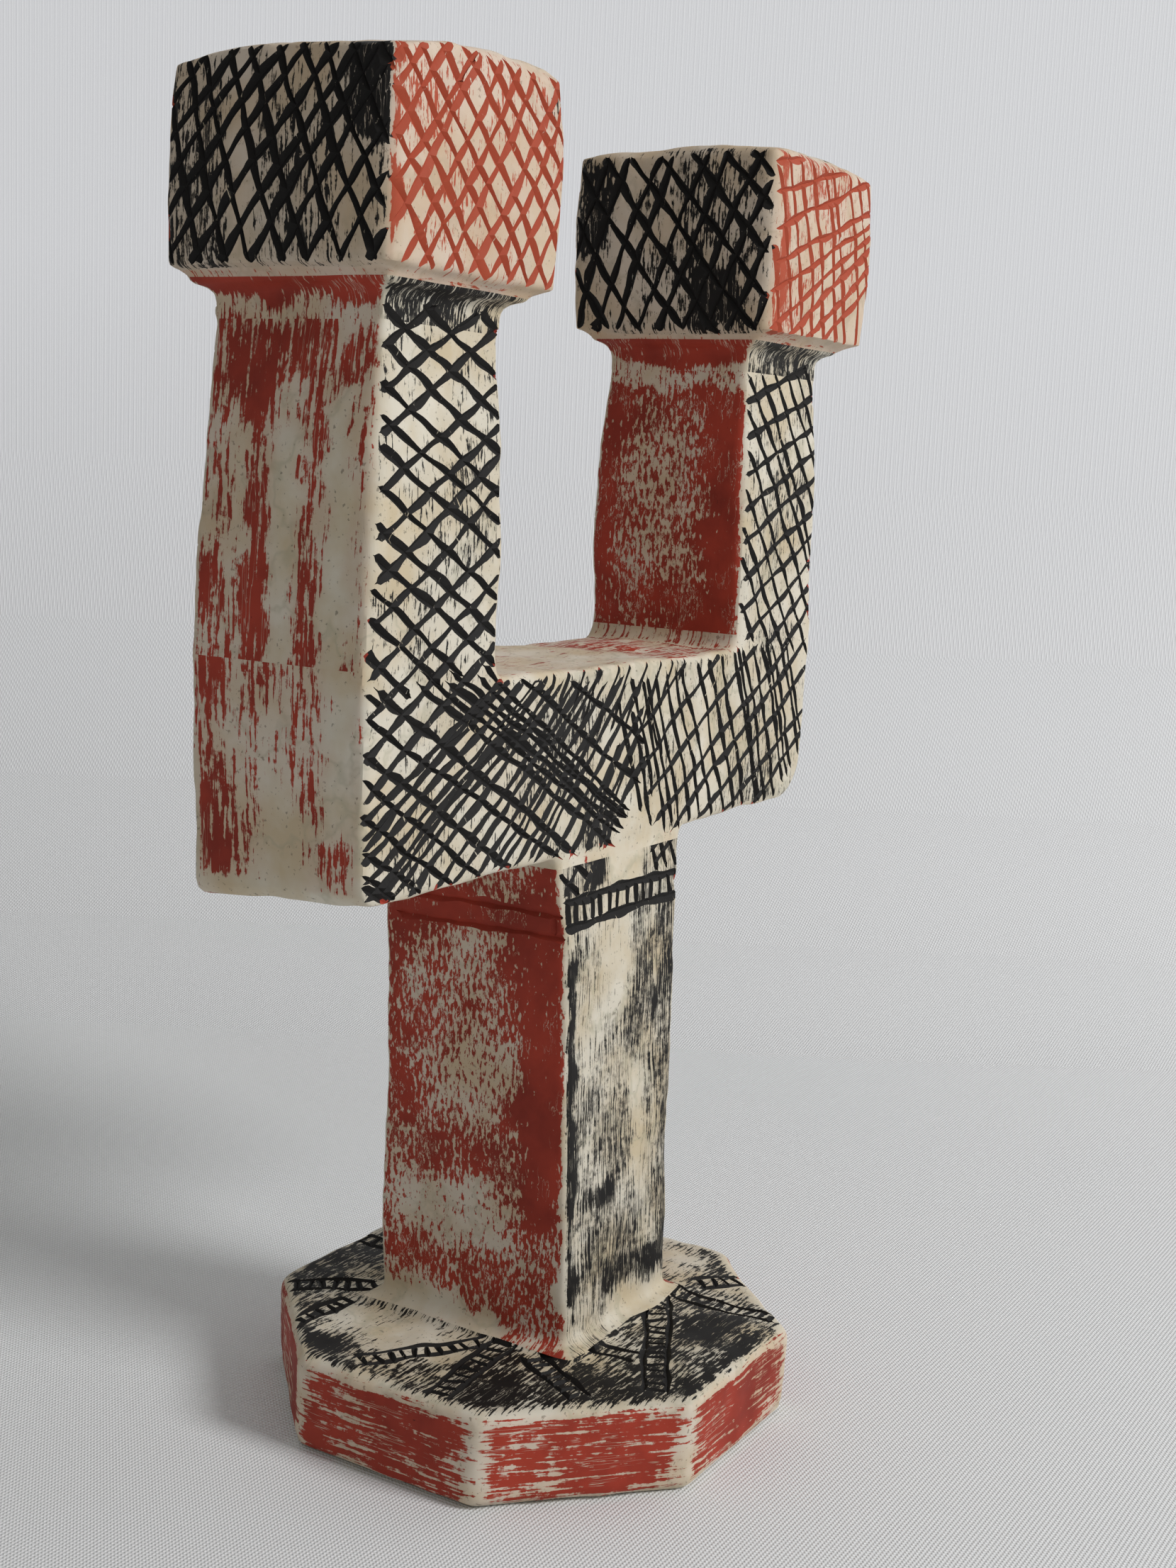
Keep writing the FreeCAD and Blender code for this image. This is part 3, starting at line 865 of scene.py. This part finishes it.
def paint_piece(name, mesh):
    points = read_points(mesh)
    distances = side_distances(name, points)
    side_names = sorted(distances)
    table = np.stack([distances[side] for side in side_names])
    nearest = table.argmin(0)
    ordered = np.sort(table, axis=0)
    to_arris = ordered[1] - ordered[0]
    patches = swell(points, 26.0, 41) * 0.10 + swell(points, 9.0, 42) * 0.07
    ragged = points + 0.9 * np.stack([swell(points, 8.0, seed) for seed in (51, 52, 53)], axis=1)
    layers = {layer: np.zeros(len(points)) for layer in ("black", "red", "black_groove", "orange")}
    arris_wear = {"base": 3.0, "stem": 1.3}.get(name, 0.5 if "head" in name else 0.8)
    for index, side in enumerate(side_names):
        kind = side.split("_")[0] if name == "base" else side
        colour, cover = side_paint[name].get(kind, ("red", 0.0))
        here = nearest == index
        layers[colour][here] = np.clip(cover + patches[here], 0, 1)
        layers["black_groove"][here] = 1.0 if colour == "black" else 0.0
        layers["orange"][here] = 1.0 if "head" in name else 0.0
        u, v = on_side(side, ragged[here])
        for stroke_colour, stroke_cover, u_span, v_span, soft in paint_strokes.get((name, side), []):
            share = soft_box(u, v, u_span, v_span, soft)
            before = layers[stroke_colour][here]
            level = np.clip(stroke_cover + 0.5 * patches[here], 0, 1)
            layers[stroke_colour][here] = before + (level - before) * share
        wear = 1 - 0.6 * (1 - flow(0.1, arris_wear, to_arris[here]))
        layers["black"][here] *= wear
        layers["red"][here] *= wear
    for colour, values in layers.items():
        add_layer(mesh, colour, "FLOAT", "POINT", values)
    return side_names, nearest, to_arris


# How much wider and longer the brush marks are on some sides
streak_sizes = {
    ("left_arm", "left"): (1.7, 2.2),
    ("yoke", "left"): (1.7, 2.2),
    ("right_arm", "left"): (1.3, 0.5),
    ("stem", "left"): (1.3, 0.45),
    ("stem", "right"): (1.3, 0.45),
    ("stem", "front"): (0.5, 2.0),
    ("stem", "back"): (0.5, 2.0),
    ("yoke", "top"): (1.3, 1.8),
}


def lay_streaks(name, mesh, side_names, nearest):
    """A UV map in millimetres: across the brush marks, and along them."""
    points = read_points(mesh)
    x, y, z = points.T
    corner_point = np.zeros(len(mesh.loops), int)
    mesh.loops.foreach_get("vertex_index", corner_point)
    starts = np.zeros(len(mesh.polygons), int)
    mesh.polygons.foreach_get("loop_start", starts)
    totals = np.zeros(len(mesh.polygons), int)
    mesh.polygons.foreach_get("loop_total", totals)
    face_side = np.repeat(nearest[corner_point[starts]], totals)
    across = np.zeros(len(corner_point))
    along = np.zeros(len(corner_point))
    for index, side in enumerate(side_names):
        here = face_side == index
        at = corner_point[here]
        if side in ("top", "under"):
            across[here], along[here] = y[at], x[at]
        elif side.startswith("wall"):
            turn = int(side[-1]) * math.pi / 4
            across[here], along[here] = z[at], y[at] * math.cos(turn) - x[at] * math.sin(turn)
        elif side in ("front", "back"):
            across[here], along[here] = x[at], z[at]
        else:
            across[here], along[here] = y[at], z[at]
        wider, longer = (1.4, 3.0) if side.startswith("wall") else streak_sizes.get((name, side), (1.0, 1.0))
        across[here] = across[here] / wider + 31.0 * index
        along[here] /= longer
    layer = mesh.uv_layers.new(name="streaks")
    layer.data.foreach_set("uv", np.stack([across, along], 1).astype(np.float32).ravel())


for name, piece in pieces.items():
    mesh = piece.data
    side_names, nearest, to_arris = paint_piece(name, mesh)
    lay_streaks(name, mesh, side_names, nearest)
    mesh.shade_smooth()
    mesh.set_sharp_from_angle(angle=math.radians(30))
    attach(piece, "root")
    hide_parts(name)
print("painted", len(pieces), "pieces")

# %% [markdown]
# ## The finish
# Soapstone is talc: soft, matt, pale grey-beige, with cloudy and greenish veins.
# The paint is a thin matt coat. A fine grain decides where it was rubbed off.

# %% Node helpers


def linear(code):
    """An sRGB hex colour as the linear colour that Blender wants."""
    channels = [int(code[place:place + 2], 16) / 255 for place in (1, 3, 5)]
    return [c / 12.92 if c <= 0.04045 else ((c + 0.055) / 1.055) ** 2.4 for c in channels] + [1.0]


def add_node(tree, kind, settings=(), links=()):
    """A node with its settings, and its input sockets linked or set."""
    node = tree.nodes.new(kind)
    for key, value in dict(settings).items():
        setattr(node, key, value)
    for socket, value in dict(links).items():
        if isinstance(value, bpy.types.NodeSocket):
            tree.links.new(value, node.inputs[socket])
        else:
            node.inputs[socket].default_value = value
    return node


def per_metre(size_mm):
    """Texture scale that gives a feature of this size."""
    return 1 / (size_mm * mm)


def math_node(tree, operation, first, second=0.0, third=0.0, clamp=False):
    node = add_node(tree, "ShaderNodeMath", {"operation": operation, "use_clamp": clamp},
                    {0: first, 1: second, 2: third})
    return node.outputs[0]


def mix_colour(tree, share, first, second):
    node = add_node(tree, "ShaderNodeMix", {"data_type": "RGBA"}, {0: share, 6: first, 7: second})
    return node.outputs[2]


# %% Stone, black and red
stone_pale = linear("#D6CFBF")
stone_warm = linear("#C6B698")
stone_vein = linear("#A3A088")
stone_speck = linear("#6E675A")
black_paint = linear("#0E0B09")
black_haze = linear("#8A8478")
red_paint = linear("#A53A28")
red_dark = linear("#862C1E")
red_orange = linear("#A8492F")
red_haze = linear("#BE927A")


def finish_stone(material, groove):
    """Stone with the paint that is left on it, or the floor of a painted groove."""
    material.use_nodes = True
    tree = material.node_tree
    tree.nodes.clear()
    place = add_node(tree, "ShaderNodeTexCoord").outputs["Object"]
    streak_map = add_node(tree, "ShaderNodeUVMap", {"uv_map": "streaks"}).outputs["UV"]

    def noise(size_mm, detail, roughness=0.6):
        node = add_node(tree, "ShaderNodeTexNoise", (), {
            "Vector": place, "Scale": per_metre(size_mm), "Detail": detail, "Roughness": roughness})
        return node.outputs["Fac"]

    def brushed(across_mm, along_mm, turn=0.0):
        """Noise drawn out along the brush marks, or turned from them by some degrees."""
        mapped = add_node(tree, "ShaderNodeMapping", {"vector_type": "POINT"}, {
            "Vector": streak_map, "Rotation": (0, 0, math.radians(turn)),
            "Scale": (1 / across_mm, 1 / along_mm, 1)})
        node = add_node(tree, "ShaderNodeTexNoise", {"noise_dimensions": "2D"}, {
            "Vector": mapped.outputs[0], "Scale": 1.0, "Detail": 4.0, "Roughness": 0.6})
        return node.outputs["Fac"]

    def ramp(value, low, high):
        node = add_node(tree, "ShaderNodeMapRange", (), {"Value": value, "From Min": low, "From Max": high})
        return node.outputs[0]

    clouds = noise(16.0, 4.0)
    grain = noise(1.5, 5.0, 0.65)
    streaks = brushed(0.55, 5.0)
    slanted = brushed(0.6, 3.0, 24.0)
    worn = math_node(tree, "MULTIPLY_ADD", streaks, 0.75, math_node(tree, "MULTIPLY", grain, 0.45))
    worn = math_node(tree, "MULTIPLY_ADD", slanted, 0.30, worn)
    worn = math_node(tree, "SUBTRACT", worn, 0.25)

    def scratches(turn, thin):
        """Fine pale lines where something sharp went through the paint."""
        line = brushed(2.4, 26.0, turn)
        off = math_node(tree, "ABSOLUTE", math_node(tree, "SUBTRACT", line, 0.5))
        return ramp(off, thin, thin * 0.3)

    scratched = math_node(tree, "MAXIMUM", scratches(14.0, 0.006), scratches(-52.0, 0.005))
    scratched = math_node(tree, "MULTIPLY", scratched, ramp(noise(9.0, 2.0), 0.50, 0.56))
    tint = ramp(clouds, 0.40, 0.64)
    ground = mix_colour(tree, tint, stone_pale, stone_warm)
    vein = ramp(math_node(tree, "ABSOLUTE", math_node(tree, "SUBTRACT", noise(34.0, 5.0), 0.47)), 0.018, 0.0)
    ground = mix_colour(tree, math_node(tree, "MULTIPLY", vein, 0.40), ground, stone_vein)
    speck = ramp(noise(0.9, 2.0), 0.64, 0.70)
    ground = mix_colour(tree, math_node(tree, "MULTIPLY", speck, 0.65), ground, stone_speck)

    def painted(layer):
        return add_node(tree, "ShaderNodeAttribute", {"attribute_name": layer}).outputs["Fac"]

    def kept(cover):
        """Where a coat of this cover is left: the wear noise above a level that falls with cover."""
        level = math_node(tree, "MULTIPLY_ADD", cover, -0.52, 0.77)
        over = math_node(tree, "SUBTRACT", worn, level)
        left = math_node(tree, "MULTIPLY_ADD", over, 22.0, 0.5, clamp=True)
        return math_node(tree, "MULTIPLY", left, math_node(tree, "SUBTRACT", 1.0, scratched))

    black, red = painted("black"), painted("red")
    red_tone = mix_colour(tree, tint, red_paint, red_dark)
    red_tone = mix_colour(tree, painted("orange"), red_tone, red_orange)
    if groove:
        is_black = math_node(tree, "GREATER_THAN", painted("black_groove"), 0.5)
        filled = mix_colour(tree, is_black, red_tone, black_paint)
        colour = mix_colour(tree, ramp(worn, 0.26, 0.31), ground, filled)
    else:
        colour = mix_colour(tree, math_node(tree, "MULTIPLY_ADD", painted("orange"), 0.25, math_node(tree, "MULTIPLY", red, 0.5)), ground, red_haze)
        colour = mix_colour(tree, math_node(tree, "MULTIPLY", black, 0.40), colour, black_haze)
        colour = mix_colour(tree, kept(red), colour, red_tone)
        colour = mix_colour(tree, kept(black), colour, black_paint)
    relief = math_node(tree, "SUBTRACT", worn, math_node(tree, "MULTIPLY", scratched, 0.5))
    bump = add_node(tree, "ShaderNodeBump", (), {"Height": relief, "Strength": 0.35, "Distance": 0.10 * mm})
    shader = add_node(tree, "ShaderNodeBsdfPrincipled", (), {
        "Base Color": colour, "Roughness": 0.66, "Specular IOR Level": 0.28, "Normal": bump.outputs[0]})
    add_node(tree, "ShaderNodeOutputMaterial", (), {"Surface": shader.outputs[0]})


finish_stone(stone, False)
finish_stone(cut_stone, True)
print("materials:", stone.name, cut_stone.name)

# %% [markdown]
# ## Table, light and camera
# The photo shows the figure on a pale cloth before a pale wall, in soft window
# light from its right. The camera stands close, a little above the yoke.

# %% Set the stage
view_yaw = math.radians(30.9)
view_pitch = math.radians(-9.0)
view_roll = math.radians(2.6)
camera_place = Vector((-316.5, -198.8, 179.4)) * mm


def backdrop():
    """A cloth floor that curves up into a wall behind the figure."""
    bm = bmesh.new()
    bmesh.ops.create_grid(bm, x_segments=1, y_segments=60, size=1)
    wall_at, bend, wall_top = 0.36, 0.16, 1.6
    quarter = bend * math.pi / 2
    floor_from = -1.6
    total = (wall_at - bend - floor_from) + quarter + wall_top
    for vertex in bm.verts:
        run = floor_from + (vertex.co.y + 1) / 2 * total
        across = vertex.co.x * 2.5
        past = run - (wall_at - bend)
        if past <= 0:
            vertex.co = Vector((run, across, 0))
        elif past < quarter:
            turn = past / bend
            vertex.co = Vector((wall_at - bend + bend * math.sin(turn), across, bend * (1 - math.cos(turn))))
        else:
            vertex.co = Vector((wall_at, across, bend + past - quarter))
    bmesh.ops.rotate(bm, verts=bm.verts, matrix=Matrix.Rotation(view_yaw, 3, "Z"))
    bmesh.ops.recalc_face_normals(bm, faces=bm.faces)
    mesh = bpy.data.meshes.new("backdrop")
    bm.to_mesh(mesh)
    bm.free()
    mesh.shade_smooth()
    mesh.materials.append(cloth_paint)
    return new_object("backdrop", mesh)


thread_pitch = 0.78


def finish_cloth():
    """Pale matt cotton. The camera sees the wall a little brighter than the lamps make it."""
    material = bpy.data.materials.new("cotton_cloth_plain_woven")
    material.use_nodes = True
    tree = material.node_tree
    tree.nodes.clear()
    place = add_node(tree, "ShaderNodeTexCoord").outputs["Object"]
    height = add_node(tree, "ShaderNodeSeparateXYZ", (), {"Vector": place}).outputs["Z"]
    up_wall = add_node(tree, "ShaderNodeMapRange", (), {
        "Value": height, "From Max": 0.25, "To Min": 0.0, "To Max": 0.72}).outputs[0]
    seen = add_node(tree, "ShaderNodeLightPath").outputs["Is Camera Ray"]

    def threads(axis):
        """Even ribs one thread apart. A wave runs through twenty of its radians in a unit."""
        ribs = add_node(tree, "ShaderNodeTexWave", {"bands_direction": axis}, {
            "Vector": place, "Scale": per_metre(thread_pitch) * 2 * math.pi / 20, "Distortion": 0.6,
            "Detail": 1.0, "Detail Scale": 0.4})
        return ribs.outputs["Fac"]

    crossing = math_node(tree, "MULTIPLY", threads("X"), threads("Y"))
    weave = add_node(tree, "ShaderNodeBump", (), {
        "Height": crossing, "Strength": 0.8, "Distance": 0.25 * mm})
    cotton = mix_colour(tree, crossing, linear("#DDDEDF"), linear("#F4F5F5"))
    matt = add_node(tree, "ShaderNodeBsdfPrincipled", (), {
        "Base Color": cotton, "Roughness": 0.9, "Specular IOR Level": 0.2, "Normal": weave.outputs[0]})
    glow = add_node(tree, "ShaderNodeEmission", (), {"Color": linear("#D5D6D9"), "Strength": 1.0})
    mixed = add_node(tree, "ShaderNodeMixShader", (), {
        0: math_node(tree, "MULTIPLY", seen, up_wall), 1: matt.outputs[0], 2: glow.outputs[0]})
    add_node(tree, "ShaderNodeOutputMaterial", (), {"Surface": mixed.outputs[0]})
    return material


cloth_paint = finish_cloth()
backdrop()

# %% Light the figure


def area_light(name, place, aim, size, power):
    lamp = bpy.data.lights.new(name, "AREA")
    lamp.shape = "DISK"
    lamp.size = size
    lamp.energy = power
    thing = bpy.data.objects.new(name, lamp)
    bpy.context.scene.collection.objects.link(thing)
    thing.location = place
    thing.rotation_euler = (Vector(aim) - Vector(place)).to_track_quat("-Z", "Y").to_euler()
    return thing


area_light("window", (0.12, -1.25, 0.95), (0, 0, 0.12), 0.5, 15.2)
world = bpy.data.worlds.new("room")
bpy.context.scene.world = world
world.use_nodes = True
world.node_tree.nodes["Background"].inputs["Color"].default_value = linear("#EDECEA")
world.node_tree.nodes["Background"].inputs["Strength"].default_value = 0.36

# %% Place the camera
forward = Vector((
    math.cos(view_pitch) * math.cos(view_yaw),
    math.cos(view_pitch) * math.sin(view_yaw),
    math.sin(view_pitch),
))
sideways = forward.cross(Vector((0, 0, 1))).normalized()
upright = sideways.cross(forward)
level_side = sideways * math.cos(view_roll) + upright * math.sin(view_roll)
level_up = upright * math.cos(view_roll) - sideways * math.sin(view_roll)
lens = bpy.data.cameras.new("camera")
lens.lens = 45.55
lens.sensor_width = 36.0
lens.clip_start = 0.01
camera = bpy.data.objects.new("camera", lens)
bpy.context.scene.collection.objects.link(camera)
camera.matrix_world = Matrix((
    (level_side.x, level_up.x, -forward.x, camera_place.x),
    (level_side.y, level_up.y, -forward.y, camera_place.y),
    (level_side.z, level_up.z, -forward.z, camera_place.z),
    (0, 0, 0, 1),
))
bpy.context.scene.camera = camera
bpy.context.scene.view_settings.view_transform = "Standard"
